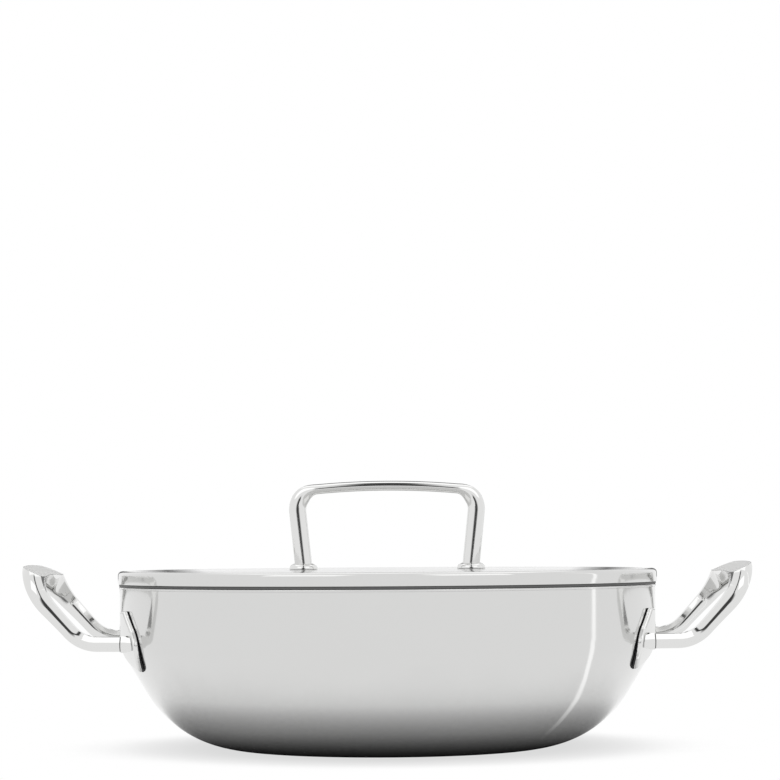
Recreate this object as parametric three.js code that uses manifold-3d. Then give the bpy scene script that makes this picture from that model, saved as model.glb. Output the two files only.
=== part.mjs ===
// Low two-handled pan with a flat lid. Millimetres, +Z up.
// The origin is on the floor at the centre of the base, and the side handles lie along X.
import * as THREE from 'three';
import { mergeVertices } from 'three/addons/utils/BufferGeometryUtils.js';
import Module from 'manifold-3d';

// Pan body
const wallRadius = 142;
const rimHeight = 85;
const shoulderRadius = 22;
const coneSlant = 22.5;
const coneAngle = 58.7;
const bowlRadius = 60.5;
const baseCornerRadius = 12;
const baseCornerAngle = 9;
const outerPly = 0.6;
const corePly = 1.8;
const innerPly = 0.6;
const rimLipHeight = 1.2;
const rimLipOverhang = 0.2;

// Lid
const lidOverhang = 0.9;
const seamHeight = 1.8;
const lidDepth = 6.4;
const lidSheet = 1;
const lidEdgeRadius = 2.2;
const lidCrown = 0.2;
const collarPlay = 0.8;
const collarThickness = 1.2;
const collarReach = 7;
const seatFlangeThickness = 1.2;
const seatFlangeInset = 2.2;

// Lid handle
const bowRise = 47.2;
const bowTopHalf = 37.7;
const bowArchRadius = 420;
const bowCornerRadius = 11;
const bowLean = 6;
const bowTopThickness = 5.3;
const bowLegThickness = 9;
const bowTopWidth = 13;
const bowLegWidth = 10.4;
const bowTaperShare = 0.6;
const footRadius = 7.4;
const footEdgeHeight = 0.6;
const footHeight = 3.5;
const screwRadius = 2.2;
const screwGrip = 9;
const screwHeadRadius = 4.4;
const screwFaceRadius = 3.3;
const screwHeadHeight = 2.2;
const washerRadius = 6.5;
const washerThickness = 1;

// Bar section of both kinds of handle, as shares of its half width and half thickness
const barFlatShare = 0.64;
const barRidgeShare = 0.2;

// Side handles
const handleDrop = 28.6;
const armSpread = 58;
const armRun = 18.8;
const armBendRadius = 20;
const armBendAngle = 47;
const armRiseRun = 16.6;
const gripBendRadius = 36;
const gripBendAngle = 31;
const gripHalf = 49;
const gripCornerRadius = 21;
const gripBow = 2.2;
const gripTopAbove = 1.5;
const gripTopSlope = 24;
const armThickness = 7.4;
const gripThickness = 9.6;
const gripSwell = 3.4;
const armWidth = 9.4;
const gripWidth = 18;
const gripSlant = 1.16;
const tenonShoulder = 1.9;
const tenonLength = 3.4;

// Handle pads
const padThickness = 2.6;
const padTopRise = 16.5;
const padTopNear = -11;
const padTopFar = -17.5;
const padSideRise = 8;
const padBulge = 9.6;
const padBulgeRise = 1;
const padTipDrop = 17;
const padTipOffset = -4;
const padInnerDrop = 12;
const bossReach = 6.4;
const bossFlare = 0.8;
const bossMargin = 0.5;

// Clearances
const bondLine = 0.05;
const seatGap = 0.1;
const padClearance = 0.3;
const tenonClearance = 0.3;
const screwClearance = 0.3;

// Facets
const turnSides = 48;
const smallSides = 20;
const bowlFacets = 6;
const shoulderFacets = 3;
const lidEdgeFacets = 3;
const footFacets = 4;
const padFacets = 5;

const radians = THREE.MathUtils.degToRad;
const wasm = await Module();
wasm.setup();

// Materials
const steel = (colour, roughness) => new THREE.MeshStandardMaterial({ color: colour, roughness, metalness: 1 });
const satinSteel = () => steel(0xc9cbcc, 0.3);
const polishedSteel = () => steel(0xd6d7d8, 0.12);
const aluminium = () => steel(0xb9bcc0, 0.45);

// Solids
function toSolid(geometry) {
  const plain = geometry.index ? geometry.clone() : geometry;
  plain.deleteAttribute('normal');
  plain.deleteAttribute('uv');
  const merged = mergeVertices(plain, 1e-4);
  return new wasm.Manifold(new wasm.Mesh({
    numProp: 3,
    vertProperties: Float32Array.from(merged.attributes.position.array),
    triVerts: Uint32Array.from(merged.index.array),
  }));
}

function toGeometry(solid) {
  const mesh = solid.getMesh();
  const geometry = new THREE.BufferGeometry();
  geometry.setAttribute('position', new THREE.Float32BufferAttribute(mesh.vertProperties, 3));
  geometry.setIndex(Array.from(mesh.triVerts));
  return geometry;
}

// A turned piece from (radius, height) points, with the metal on the left of the path.
function turned(points, sides = turnSides) {
  return new THREE.LatheGeometry(points, sides).rotateX(Math.PI / 2);
}

function closedProfile(points) {
  return [...points, points[0].clone()];
}

function cylinder(radius, low, high) {
  const height = high - low;
  return new THREE.CylinderGeometry(radius, radius, height, smallSides)
    .rotateX(Math.PI / 2).translate(0, 0, low + height / 2);
}

// A closed skin over rings of equal point counts, with a fan at each end.
function loft(rings) {
  const count = rings[0].length;
  const positions = [];
  const faces = [];
  rings.forEach((ring) => ring.forEach((point) => positions.push(point.x, point.y, point.z)));
  for (let row = 0; row + 1 < rings.length; row += 1) {
    for (let side = 0; side < count; side += 1) {
      const next = (side + 1) % count;
      const low = row * count;
      const high = low + count;
      faces.push(low + side, low + next, high + side, low + next, high + next, high + side);
    }
  }
  const last = (rings.length - 1) * count;
  for (let side = 1; side + 1 < count; side += 1) {
    faces.push(0, side + 1, side, last, last + side, last + side + 1);
  }
  const geometry = new THREE.BufferGeometry();
  geometry.setAttribute('position', new THREE.Float32BufferAttribute(positions, 3));
  geometry.setIndex(faces);
  return geometry;
}

function mirroredInY(geometry) {
  const mirrored = geometry.clone().scale(1, -1, 1);
  const index = mirrored.index.array;
  for (let face = 0; face < index.length; face += 3) {
    [index[face + 1], index[face + 2]] = [index[face + 2], index[face + 1]];
  }
  return mirrored;
}

function arc(centre, radius, fromAngle, toAngle, steps) {
  return Array.from({ length: steps + 1 }, (_, step) => {
    const angle = radians(fromAngle + (toAngle - fromAngle) * step / steps);
    return new THREE.Vector2(centre.x + radius * Math.cos(angle), centre.y + radius * Math.sin(angle));
  });
}

// The pan's outside, offset along its normals: flat base, soft corner, bowl arc, cone, shoulder, wall.
const slope = radians(coneAngle);
const cornerSlope = radians(baseCornerAngle);
const coneTopRadius = wallRadius - shoulderRadius * (1 - Math.sin(slope));
const coneFootRadius = coneTopRadius - coneSlant * Math.cos(slope);
const bowlCentre = new THREE.Vector2(
  coneFootRadius - bowlRadius * Math.sin(slope),
  baseCornerRadius + (bowlRadius - baseCornerRadius) * Math.cos(cornerSlope),
);
const cornerCentre = new THREE.Vector2(
  bowlCentre.x + (bowlRadius - baseCornerRadius) * Math.sin(cornerSlope),
  baseCornerRadius,
);
const coneFootHeight = bowlCentre.y - bowlRadius * Math.cos(slope);
const coneTopHeight = coneFootHeight + coneSlant * Math.sin(slope);
const shoulderCentre = new THREE.Vector2(
  wallRadius - shoulderRadius,
  coneTopHeight + shoulderRadius * Math.cos(slope),
);

function wallOutline(offset, top) {
  return [
    new THREE.Vector2(0, -offset),
    ...arc(cornerCentre, baseCornerRadius + offset, -90, baseCornerAngle - 90, 1),
    ...arc(bowlCentre, bowlRadius + offset, baseCornerAngle - 90, coneAngle - 90, bowlFacets).slice(1),
    ...arc(shoulderCentre, shoulderRadius + offset, coneAngle - 90, 0, shoulderFacets),
    new THREE.Vector2(wallRadius + offset, top),
  ];
}

// Plies of the pan, from the outside in
const lipBottom = rimHeight - rimLipHeight;
const coreOuter = -(outerPly + bondLine);
const coreInner = coreOuter - corePly;
const linerOuter = coreInner - bondLine;
const linerInner = linerOuter - innerPly;
const mouthRadius = wallRadius + linerInner;
const lipRadius = wallRadius + rimLipOverhang;

function ply(outer, inner, top) {
  return turned([...wallOutline(outer, top), ...wallOutline(inner, top).reverse()]);
}

function liner() {
  const lipChamfer = rimLipHeight / 4;
  return turned([
    ...wallOutline(linerOuter, lipBottom),
    new THREE.Vector2(lipRadius, lipBottom),
    new THREE.Vector2(lipRadius, rimHeight - lipChamfer),
    new THREE.Vector2(lipRadius - lipChamfer, rimHeight),
    ...wallOutline(linerInner, rimHeight).reverse(),
  ]);
}

// Lid
const lidRadius = wallRadius + lidOverhang;
const skirtBottom = rimHeight + seamHeight;
const lidTop = skirtBottom + lidDepth;
const lidFlatRadius = lidRadius - lidEdgeRadius;
const crownAt = (radius) => lidTop + lidCrown * (1 - (radius / lidFlatRadius) ** 2);

function crownPoints(drop) {
  const crownSteps = 4;
  return Array.from({ length: crownSteps + 1 }, (_, step) => {
    const radius = lidFlatRadius * step / crownSteps;
    return new THREE.Vector2(radius, crownAt(radius) - drop);
  });
}

function lidShell(screwX) {
  const edgeCentre = new THREE.Vector2(lidFlatRadius, lidTop - lidEdgeRadius);
  const innerSkirt = lidRadius - lidSheet;
  const shell = turned([
    ...crownPoints(lidSheet),
    new THREE.Vector2(innerSkirt, lidTop - lidEdgeRadius),
    new THREE.Vector2(innerSkirt, skirtBottom),
    new THREE.Vector2(lidRadius, skirtBottom),
    ...arc(edgeCentre, lidEdgeRadius, 0, 90, lidEdgeFacets),
    ...crownPoints(0).reverse().slice(1),
  ]);
  const hole = cylinder(screwRadius + screwClearance, skirtBottom, lidTop + bowRise);
  return toGeometry([screwX, -screwX].reduce(
    (solid, x) => solid.subtract(toSolid(hole.clone().translate(x, 0, 0))),
    toSolid(shell),
  ));
}

function seatRing() {
  const outer = mouthRadius - collarPlay;
  const inner = outer - collarThickness;
  const flangeRadius = wallRadius - seatFlangeInset;
  const seat = rimHeight + seatGap;
  const top = crownAt(outer) - lidSheet - bondLine;
  return turned(closedProfile([
    new THREE.Vector2(inner, rimHeight - collarReach),
    new THREE.Vector2(outer, rimHeight - collarReach),
    new THREE.Vector2(outer, seat),
    new THREE.Vector2(flangeRadius, seat),
    new THREE.Vector2(flangeRadius, seat + seatFlangeThickness),
    new THREE.Vector2(outer, seat + seatFlangeThickness),
    new THREE.Vector2(outer, top),
    new THREE.Vector2(inner, top),
  ]));
}

// A bar section with a soft ridge along both sides, for both kinds of handle
function ridgedSection(width, thickness) {
  const side = width / 2;
  const face = thickness / 2;
  const flat = barFlatShare * side;
  const ridge = barRidgeShare * face;
  return [
    [-flat, -face], [flat, -face], [side, -ridge], [side, ridge],
    [flat, face], [-flat, face], [-side, ridge], [-side, -ridge],
  ];
}

// Lid handle: an arched top, a round corner and a leaning leg, walked from the middle outwards
const bowTop = lidTop + bowRise;
const archTurn = bowTopHalf / bowArchRadius;
const lean = radians(bowLean);
const legBottomAt = (footX) => crownAt(footX - footRadius) + bondLine + footHeight + bondLine;

function bowHalfPath() {
  const top = bowTop - bowTopThickness / 2;
  const archSteps = 6;
  const cornerSteps = 8;
  const legSteps = 3;
  const path = [];
  for (let step = 0; step <= archSteps; step += 1) {
    const turn = archTurn * step / archSteps;
    path.push({ x: bowArchRadius * Math.sin(turn), z: top - bowArchRadius * (1 - Math.cos(turn)), turn });
  }
  const start = path[path.length - 1];
  const cornerTurn = Math.PI / 2 + lean;
  for (let step = 1; step <= cornerSteps; step += 1) {
    const turn = archTurn + (cornerTurn - archTurn) * step / cornerSteps;
    const x = start.x + bowCornerRadius * (Math.sin(turn) - Math.sin(archTurn));
    const z = start.z - bowCornerRadius * (Math.cos(archTurn) - Math.cos(turn));
    path.push({ x, z, turn });
  }
  const corner = path[path.length - 1];
  const bottom = legBottomAt(corner.x);
  for (let step = 1; step <= legSteps; step += 1) {
    const drop = (corner.z - bottom) * step / legSteps;
    path.push({ x: corner.x - drop * Math.tan(lean), z: corner.z - drop, turn: cornerTurn });
  }
  path.forEach((point) => {
    point.blend = THREE.MathUtils.smoothstep(point.turn, 0, cornerTurn * bowTaperShare);
  });
  return path;
}

const bowPath = bowHalfPath();
const footX = bowPath[bowPath.length - 1].x;
const legBottom = bowPath[bowPath.length - 1].z;

function bowRing(point, side, cutFlat) {
  const thickness = THREE.MathUtils.lerp(bowTopThickness, bowLegThickness, point.blend);
  const width = THREE.MathUtils.lerp(bowTopWidth, bowLegWidth, point.blend);
  const outward = new THREE.Vector3(side * Math.sin(point.turn), 0, Math.cos(point.turn));
  if (cutFlat) {
    outward.set(side / Math.cos(lean), 0, 0);
  }
  const centre = new THREE.Vector3(side * point.x, 0, point.z);
  return ridgedSection(width, thickness).map(([across, out]) => (
    centre.clone().addScaledVector(outward, out).add(new THREE.Vector3(0, across, 0))
  ));
}

function lidHandle() {
  const last = bowPath.length - 1;
  const left = bowPath.map((point, step) => bowRing(point, -1, step === last)).reverse();
  const right = bowPath.slice(1).map((point, step) => bowRing(point, 1, step === last - 1));
  const bar = toSolid(loft([...left, ...right]));
  const bore = cylinder(screwRadius + screwClearance, lidTop, legBottom + screwGrip + screwClearance);
  return toGeometry([footX, -footX].reduce(
    (solid, x) => solid.subtract(toSolid(bore.clone().translate(x, 0, 0))),
    bar,
  ));
}

function lidFoot() {
  const base = crownAt(footX - footRadius) + bondLine;
  const hole = screwRadius + screwClearance;
  const rise = footHeight - footEdgeHeight;
  const shoulder = footRadius - rise;
  const edgeCentre = new THREE.Vector2(shoulder, base + footEdgeHeight);
  return turned(closedProfile([
    new THREE.Vector2(hole, base),
    new THREE.Vector2(footRadius, base),
    ...arc(edgeCentre, rise, 0, 90, footFacets),
    new THREE.Vector2(hole, base + footHeight),
  ]), smallSides);
}

const washerTop = crownAt(footX + washerRadius) - lidSheet - bondLine;

function washer() {
  const hole = screwRadius + screwClearance;
  return turned(closedProfile([
    new THREE.Vector2(hole, washerTop - washerThickness),
    new THREE.Vector2(washerRadius, washerTop - washerThickness),
    new THREE.Vector2(washerRadius, washerTop),
    new THREE.Vector2(hole, washerTop),
  ]), smallSides);
}

function screw() {
  const headTop = washerTop - washerThickness - bondLine;
  const headBottom = headTop - screwHeadHeight;
  return turned([
    new THREE.Vector2(0, headBottom),
    new THREE.Vector2(screwFaceRadius, headBottom),
    new THREE.Vector2(screwHeadRadius, headBottom + screwHeadHeight / 2),
    new THREE.Vector2(screwHeadRadius, headTop),
    new THREE.Vector2(screwRadius, headTop),
    new THREE.Vector2(screwRadius, legBottom + screwGrip),
    new THREE.Vector2(0, legBottom + screwGrip),
  ], smallSides);
}

// Side handle: a loop drawn flat in (run, Y) and laid on a rising curve in the XZ plane
const armHeight = rimHeight - handleDrop;
const rootX = Math.sqrt(wallRadius ** 2 - armSpread ** 2);
const bendAngle = radians(armBendAngle);
const bendLength = armBendRadius * bendAngle;
const riseStart = armRun + bendLength;
const gripStart = riseStart + armRiseRun;
const gripRun = gripStart + gripBendRadius * radians(gripBendAngle);
const riseFoot = {
  x: rootX + armRun + armBendRadius * Math.sin(bendAngle),
  z: armHeight + armBendRadius * (1 - Math.cos(bendAngle)),
};

function risingCurve(run) {
  if (run <= armRun) {
    return { x: rootX + run, z: armHeight, angle: 0 };
  }
  if (run <= riseStart) {
    const angle = (run - armRun) / armBendRadius;
    return {
      x: rootX + armRun + armBendRadius * Math.sin(angle),
      z: armHeight + armBendRadius * (1 - Math.cos(angle)),
      angle,
    };
  }
  const straight = Math.min(run, gripStart) - riseStart;
  const x = riseFoot.x + straight * Math.cos(bendAngle);
  const z = riseFoot.z + straight * Math.sin(bendAngle);
  if (run <= gripStart) {
    return { x, z, angle: bendAngle };
  }
  const angle = bendAngle + (run - gripStart) / gripBendRadius;
  return {
    x: x + gripBendRadius * (Math.sin(angle) - Math.sin(bendAngle)),
    z: z + gripBendRadius * (Math.cos(bendAngle) - Math.cos(angle)),
    angle,
  };
}

// The flat loop's rear half: leaning arm, corner arc, and half of the bowed grip
const shoulderRun = bossReach + padClearance;
const armLean = Math.atan2(armSpread - gripHalf, gripRun);
const armYAt = (run) => armSpread - run * Math.tan(armLean);

function halfLoop() {
  const cornerTurn = Math.PI / 2 - armLean;
  const tangentLength = gripCornerRadius * Math.tan(cornerTurn / 2);
  const topY = armYAt(gripRun);
  const cornerY = topY - tangentLength;
  const cornerRun = gripRun - gripCornerRadius;
  const armEndRun = cornerRun + gripCornerRadius * Math.sin(armLean);
  const armSteps = 9;
  const cornerSteps = 6;
  const gripSteps = 3;
  const path = [];
  for (let step = 0; step <= armSteps; step += 1) {
    const run = shoulderRun + (armEndRun - shoulderRun) * step / armSteps;
    path.push({ run, y: armYAt(run) });
  }
  for (let step = 1; step <= cornerSteps; step += 1) {
    const turn = armLean + cornerTurn * step / cornerSteps;
    path.push({
      run: cornerRun + gripCornerRadius * Math.sin(turn),
      y: cornerY + gripCornerRadius * Math.cos(turn),
    });
  }
  for (let step = 1; step <= gripSteps; step += 1) {
    const share = step / gripSteps;
    path.push({ run: gripRun + gripBow * (1 - (1 - share) ** 2), y: cornerY * (1 - share) });
  }
  return path;
}

const loopHalf = halfLoop();
const mirroredHalf = loopHalf.slice(0, -1).reverse().map((point) => ({ run: point.run, y: -point.y }));
const loopPath = [...loopHalf, ...mirroredHalf];

function place(point) {
  const curve = risingCurve(point.run);
  return new THREE.Vector3(curve.x, point.y, curve.z);
}

// A ring of the loop's section at one point, square to the path there. Slant tilts its side towards the fingers.
function loopRing(centre, tangent, angle, width, thickness, slant = 0) {
  const rise = new THREE.Vector3(-Math.sin(angle), 0, Math.cos(angle));
  const across = new THREE.Vector3().crossVectors(rise, tangent).normalize();
  const normal = new THREE.Vector3().crossVectors(tangent, across).normalize();
  return ridgedSection(width, thickness).map(([side, up]) => {
    const fingerShare = Math.max(0, -2 * side / width);
    return centre.clone().addScaledVector(across, side + slant * up * fingerShare).addScaledVector(normal, up);
  });
}

const rootTangent = new THREE.Vector3(Math.cos(armLean), -Math.sin(armLean), 0);
const endTangent = new THREE.Vector3(-Math.cos(armLean), -Math.sin(armLean), 0);
const armRoot = place(loopPath[0]);
const armEnd = place(loopPath[loopPath.length - 1]);

function tenonRing(shoulder, tangent, along, growth) {
  const centre = shoulder.clone().addScaledVector(tangent, along);
  const shrink = 2 * (tenonShoulder - growth);
  return loopRing(centre, tangent, 0, armWidth - shrink, armThickness - shrink);
}

function sideHandle() {
  const span = loopPath.length - 1;
  const rings = loopPath.map((point, step) => {
    const before = place(loopPath[Math.max(0, step - 1)]);
    const after = place(loopPath[Math.min(span, step + 1)]);
    const tangent = after.sub(before).normalize();
    if (step === 0) {
      tangent.copy(rootTangent);
    }
    if (step === span) {
      tangent.copy(endTangent);
    }
    const thickening = THREE.MathUtils.smoothstep(point.run, riseStart, gripRun);
    const widening = THREE.MathUtils.smoothstep(point.run, gripRun - gripCornerRadius, gripRun);
    const width = THREE.MathUtils.lerp(armWidth, gripWidth, widening);
    const swelling = 1 - THREE.MathUtils.smoothstep(Math.abs(point.y), 0, gripHalf);
    const thickness = THREE.MathUtils.lerp(armThickness, gripThickness, thickening) + gripSwell * swelling;
    return loopRing(place(point), tangent, risingCurve(point.run).angle, width, thickness, gripSlant * widening);
  });
  const loop = loft([
    tenonRing(armRoot, rootTangent, -tenonLength, 0),
    tenonRing(armRoot, rootTangent, 0, 0),
    ...rings,
    tenonRing(armEnd, endTangent, 0, 0),
    tenonRing(armEnd, endTangent, tenonLength, 0),
  ]);
  return toGeometry(toSolid(loop).subtract(toSolid(aboveGrip())));
}

// The space over the grip's flat top, which slopes down towards the pan
function aboveGrip() {
  const grip = risingCurve(gripRun);
  const size = 4 * (armSpread + gripWidth);
  return new THREE.BoxGeometry(size, size, size).translate(0, 0, size / 2)
    .rotateY(-radians(gripTopSlope)).translate(grip.x, 0, grip.z + gripTopAbove);
}

// Handle pad on the rear side of the right handle: a leaf-shaped plate with a flared boss
const padAngle = Math.asin(armSpread / wallRadius);
const wallSolid = (offset) => toSolid(turned([
  ...wallOutline(offset, rimHeight),
  new THREE.Vector2(0, rimHeight),
]));

function padOutline() {
  const shape = new THREE.Shape();
  shape.moveTo(padTopFar, padTopRise);
  shape.lineTo(padTopNear, padTopRise);
  shape.lineTo(0, padSideRise);
  shape.quadraticCurveTo(padBulge, padBulgeRise, padBulge / 2, (padBulgeRise - padTipDrop) / 2);
  shape.quadraticCurveTo(padTipOffset / 2, -padTipDrop, padTipOffset, -padTipDrop);
  shape.quadraticCurveTo(padTopFar, -padInnerDrop, padTopFar, 0);
  shape.closePath();
  return shape;
}

function rearPad() {
  const outward = new THREE.Vector3(Math.cos(padAngle), Math.sin(padAngle), 0);
  const along = new THREE.Vector3(-Math.sin(padAngle), Math.cos(padAngle), 0);
  const up = new THREE.Vector3(0, 0, 1);
  const blankDepth = wallRadius / 4;
  const blankBack = wallRadius - blankDepth / 2;
  const frame = new THREE.Matrix4().makeBasis(along, up, outward);
  frame.setPosition(outward.clone().multiplyScalar(blankBack).setZ(armHeight));
  const blank = new THREE.ExtrudeGeometry(padOutline(), {
    depth: blankDepth,
    bevelEnabled: false,
    curveSegments: padFacets,
  }).applyMatrix4(frame);
  const plate = toSolid(blank).intersect(wallSolid(padClearance + padThickness));
  const bossFace = armRoot.clone().addScaledVector(rootTangent, -padClearance);
  const bossBack = bossFace.clone().addScaledVector(rootTangent, -2 * bossReach);
  const faceMargin = 2 * bossMargin;
  const backMargin = faceMargin + 4 * bossFlare;
  const boss = toSolid(loft([
    loopRing(bossBack, rootTangent, 0, armWidth + backMargin, armThickness + backMargin),
    loopRing(bossFace, rootTangent, 0, armWidth + faceMargin, armThickness + faceMargin),
  ]));
  const socket = toSolid(loft([
    tenonRing(armRoot, rootTangent, -tenonLength - tenonClearance, tenonClearance),
    tenonRing(armRoot, rootTangent, tenonLength, tenonClearance),
  ]));
  return toGeometry(plate.add(boss).subtract(wallSolid(padClearance)).subtract(socket));
}

// Assembly
const model = new THREE.Group();

function addPiece(parent, name, geometry, material) {
  const mesh = new THREE.Mesh(geometry, material);
  mesh.name = name;
  parent.add(mesh);
  return mesh;
}

function addPan() {
  const underLip = lipBottom - bondLine;
  addPiece(model, 'pan_outer_skin', ply(0, -outerPly, underLip), satinSteel());
  addPiece(model, 'pan_core', ply(coreOuter, coreInner, underLip), aluminium());
  addPiece(model, 'pan_inner_skin', liner(), satinSteel());
}

function addSideHandles() {
  const loop = sideHandle();
  const rear = rearPad();
  const front = mirroredInY(rear);
  const sides = [
    { name: 'right', turn: 0, towardBack: 'rear', towardFront: 'front' },
    { name: 'left', turn: Math.PI, towardBack: 'front', towardFront: 'rear' },
  ];
  sides.forEach((side) => {
    const group = new THREE.Group();
    group.rotation.z = side.turn;
    addPiece(group, `${side.name}_handle`, loop, polishedSteel());
    addPiece(group, `${side.name}_${side.towardBack}_pad`, rear, polishedSteel());
    addPiece(group, `${side.name}_${side.towardFront}_pad`, front, polishedSteel());
    model.add(group);
  });
}

function addLid() {
  addPiece(model, 'lid_shell', lidShell(footX), polishedSteel());
  addPiece(model, 'lid_seat_ring', seatRing(), satinSteel());
  addPiece(model, 'lid_handle', lidHandle(), polishedSteel());
  const sides = [{ name: 'left', x: -footX }, { name: 'right', x: footX }];
  sides.forEach((side) => {
    addPiece(model, `lid_handle_${side.name}_foot`, lidFoot(), polishedSteel()).position.x = side.x;
    addPiece(model, `lid_handle_${side.name}_washer`, washer(), satinSteel()).position.x = side.x;
    addPiece(model, `lid_handle_${side.name}_screw`, screw(), satinSteel()).position.x = side.x;
  });
}

addPan();
addSideHandles();
addLid();

export default model;
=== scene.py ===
# Low two-handled pan with a lid: the steel pieces, their finishes, the studio and the camera.
from math import asin, atan2, cos, hypot, pi, radians, sin, sqrt, tan

import bmesh
import bpy
from bmesh.types import BMEdge, BMFace, BMVert
from mathutils import Matrix, Vector


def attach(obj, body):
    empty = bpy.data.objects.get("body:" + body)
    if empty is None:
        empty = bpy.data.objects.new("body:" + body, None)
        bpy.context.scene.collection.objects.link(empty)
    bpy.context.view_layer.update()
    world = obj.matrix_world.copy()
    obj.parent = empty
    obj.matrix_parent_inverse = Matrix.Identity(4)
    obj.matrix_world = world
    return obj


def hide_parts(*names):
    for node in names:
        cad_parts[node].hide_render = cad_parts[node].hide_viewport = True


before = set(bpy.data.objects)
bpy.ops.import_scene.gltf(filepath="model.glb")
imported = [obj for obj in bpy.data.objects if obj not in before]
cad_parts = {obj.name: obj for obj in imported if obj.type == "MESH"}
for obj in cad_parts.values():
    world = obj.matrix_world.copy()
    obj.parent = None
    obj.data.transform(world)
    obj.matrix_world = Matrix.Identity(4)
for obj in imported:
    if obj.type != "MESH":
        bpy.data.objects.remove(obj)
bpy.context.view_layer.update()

MM = 0.001

# Pan, in millimetres
WALL_RADIUS = 142
RIM_HEIGHT = 85
SHOULDER_RADIUS = 22
CONE_SLANT = 22.5
CONE_ANGLE = 58.7
BOWL_RADIUS = 60.5
BASE_CORNER_RADIUS = 12
BASE_CORNER_ANGLE = 9
OUTER_PLY = 0.6
CORE_PLY = 1.8
INNER_PLY = 0.6
RIM_LIP_HEIGHT = 1.2
RIM_LIP_OVERHANG = 0.2
RIM_EDGE_ROUND = 0.45
LIP_UNDER_ROUND = 0.12
BOND_LINE = 0.05

# Lid
LID_OVERHANG = 0.9
SEAM_HEIGHT = 1.4
LID_DEPTH = 6.8
LID_SHEET = 1
LID_EDGE_RADIUS = 2.2
LID_CROWN = 0.2
LID_HEM_ROUND = 0.3
COLLAR_PLAY = 0.8
COLLAR_THICKNESS = 1.2
COLLAR_REACH = 7
COLLAR_EDGE_ROUND = 0.25
FLANGE_THICKNESS = 1.2
FLANGE_REACH = 0.3
FLANGE_SHADE_START = 1.5
FLANGE_SHADE_END = 0.5
SEAT_GAP = 0.1

# Lid handle
BOW_RISE = 47.2
BOW_TOP_HALF = 37.7
BOW_ARCH_RADIUS = 420
BOW_CORNER_RADIUS = 11
BOW_LEAN = radians(6)
BOW_TOP_THICKNESS = 5.3
BOW_LEG_THICKNESS = 9
BOW_TOP_WIDTH = 13
BOW_LEG_WIDTH = 10.4
BOW_TAPER_SHARE = 0.6
BOW_EDGE_SHARE = 0.2
LEG_SINK = 0.6
FOOT_RADIUS = 7.4
FOOT_EDGE_HEIGHT = 0.6
FOOT_HEIGHT = 3.5
FOOT_ROUND = 4.6
# Painted shade at the foot's bottom edge, where it stands on the lid
FOOT_SHADE_HEIGHT = 0.1
FOOT_PAINTED_SHADE = 0.5
SCREW_RADIUS = 2.2
SCREW_GRIP = 9
SCREW_TIP_CHAMFER = 0.6
SCREW_HEAD_RADIUS = 4.4
SCREW_HEAD_HEIGHT = 2.2
SCREW_SOCKET_RADIUS = 1.5
SCREW_SOCKET_MOUTH = 1.6
SCREW_EDGE_ROUND = 0.12
WASHER_RADIUS = 6.5
WASHER_THICKNESS = 1
WASHER_PLAY = 0.3
WASHER_EDGE_ROUND = 0.2

# Side handles
BAR_FLAT_SHARE = 0.64
HANDLE_DROP = 28.6
ARM_SPREAD = 58
ARM_RUN = 18.8
ARM_BEND_RADIUS = 20
ARM_BEND = radians(47)
ARM_RISE_RUN = 16.6
GRIP_BEND_RADIUS = 36
GRIP_BEND = radians(31)
GRIP_HALF = 49
GRIP_CORNER_RADIUS = 21
GRIP_BOW = 2.2
GRIP_TOP_ABOVE = 1.5
GRIP_TOP_SLOPE = radians(24)
ARM_THICKNESS = 7.4
GRIP_THICKNESS = 9.6
GRIP_SWELL = 3.4
ARM_WIDTH = 9.4
GRIP_WIDTH = 18
GRIP_SLANT = 1.16
ARM_DRAW_IN = 5
ARM_DRAW_RUN = 36
RISE_LEAN = radians(1.5)
RIDGE_RISE = -0.1
RIDGE_ROUND = 0.95
HANDLE_EDGE_ROUND = 0.4
FACET_LINE = 0.45
# Painted dark reflection line round the grip's flat top, from its edge outwards
FACET_PAINTED_REFLECTION = (0.6, 0.8, 0.7)
TENON_SHOULDER = 1.9
TENON_LENGTH = 3.4

# Handle pads, drawn from the point where the arm meets the wall
PAD_FAR_TOP = Vector((-17.5, 16.5))
PAD_NEAR_TOP = Vector((-11, 16.5))
PAD_SIDE = Vector((0, 8))
PAD_SIDE_PULL = Vector((9.6, 1))
PAD_BELLY = Vector((4.8, -7))
PAD_BELLY_PULL = Vector((-0.6, -14.4))
PAD_TIP = Vector((-3.5, -14.4))
PAD_TIP_PULL = Vector((-17.5, -11))
PAD_INNER = Vector((-17.5, 0))
PAD_SPLITS_ALONG = range(-15, 4, 3)
PAD_SPLITS_UP = range(-15, 16, 3)
PAD_THICKNESS = 2.6
PAD_ROUND = 1.3
# Heights of the painted shade band along the pad's edge next to the wall, and where along the pad
# it is lowest and highest
PAD_PAINTED_SHADE_LOW = 0.2
PAD_PAINTED_SHADE_HIGH = 0.95
PAD_PAINTED_SHADE_FADE = 0.25
PAD_PAINTED_SHADE_LOW_AT = 4
PAD_PAINTED_SHADE_HIGH_AT = -12
PAD_CLEARANCE = 0.3
BOSS_REACH = 6.4
BOSS_TAPER = 0.5
BOSS_MARGIN = 0.5
BOSS_NECK_SHARE = 0.3
BOSS_LIP = 0.35
BOSS_FOOT_RISE = 0.1
BOSS_FOOT_END = 0.4
# Painted shade where the boss's foot meets the plate
BOSS_FOOT_PAINTED_SHADE = 0.6

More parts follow.
